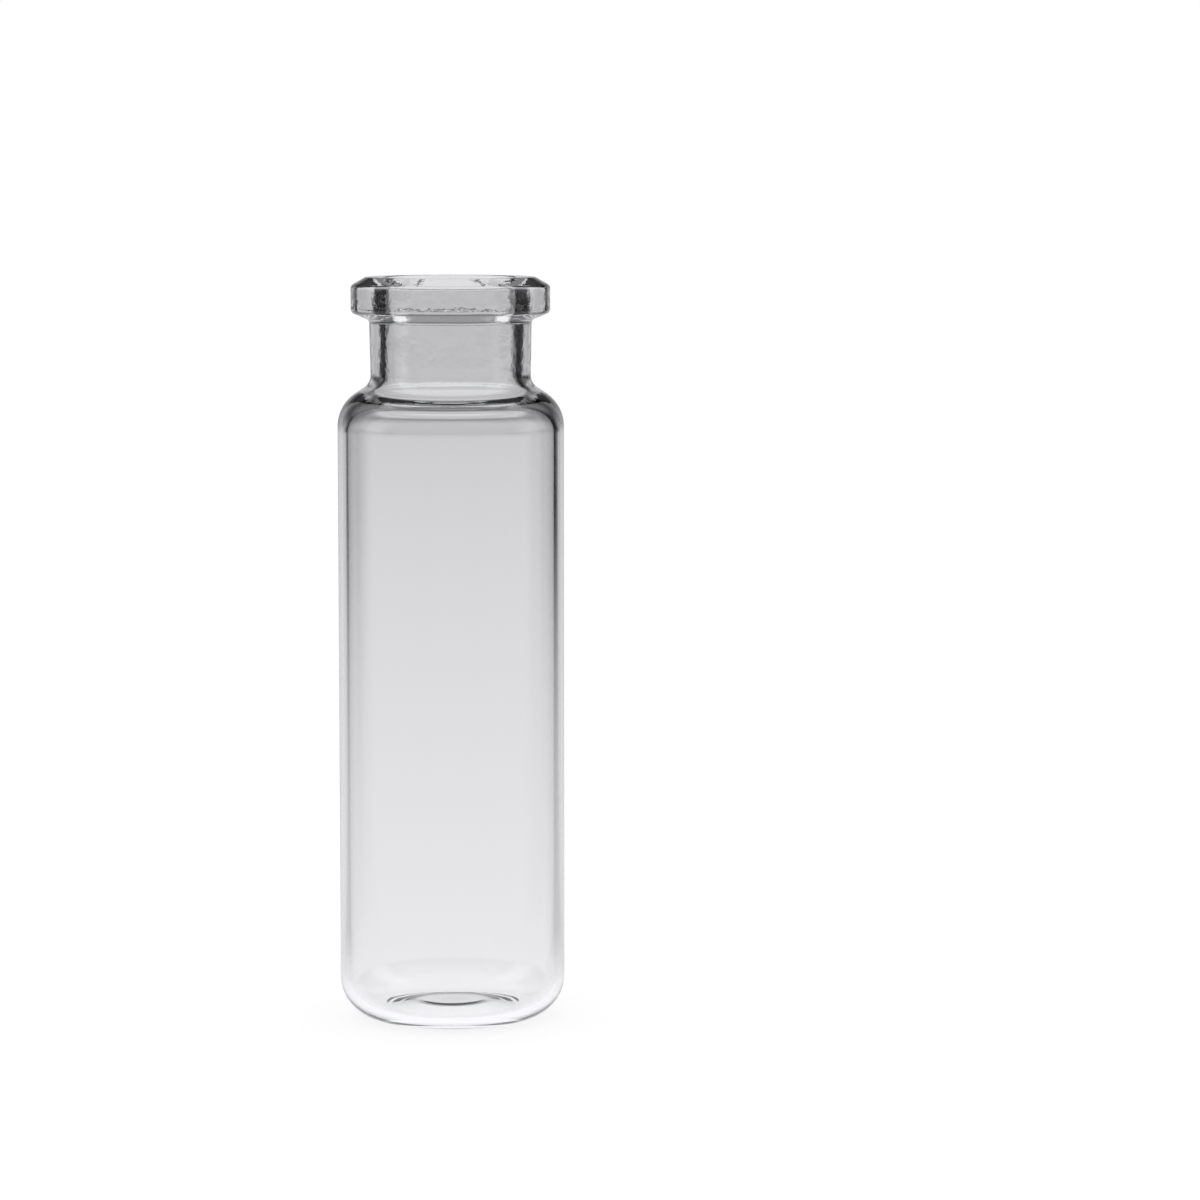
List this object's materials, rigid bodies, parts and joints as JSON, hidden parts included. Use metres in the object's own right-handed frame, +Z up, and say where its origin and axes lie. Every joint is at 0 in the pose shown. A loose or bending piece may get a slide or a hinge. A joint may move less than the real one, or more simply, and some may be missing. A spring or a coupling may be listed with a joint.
{
  "type": "glass sample vial",
  "caption": "Clear glass headspace sample vial: straight tube body, rounded heel, push-up base, sloped shoulder, short neck and a bevelled crimp flange round an open mouth.",
  "frame": {"origin": "centre of the base, on the surface that the vial stands on", "axes": "+Z up along the vial's axis, out of the mouth; it is round, so X and Y are any two directions across it"},
  "size_m": [0.0228, 0.0228, 0.075],
  "materials": {
    "clear_glass": "clear neutral borosilicate glass, flame-formed from drawn tube, fire-polished mouth"
  },
  "bodies": {
    "root": {"glass_vial": "clear_glass"}
  },
  "joints": []
}
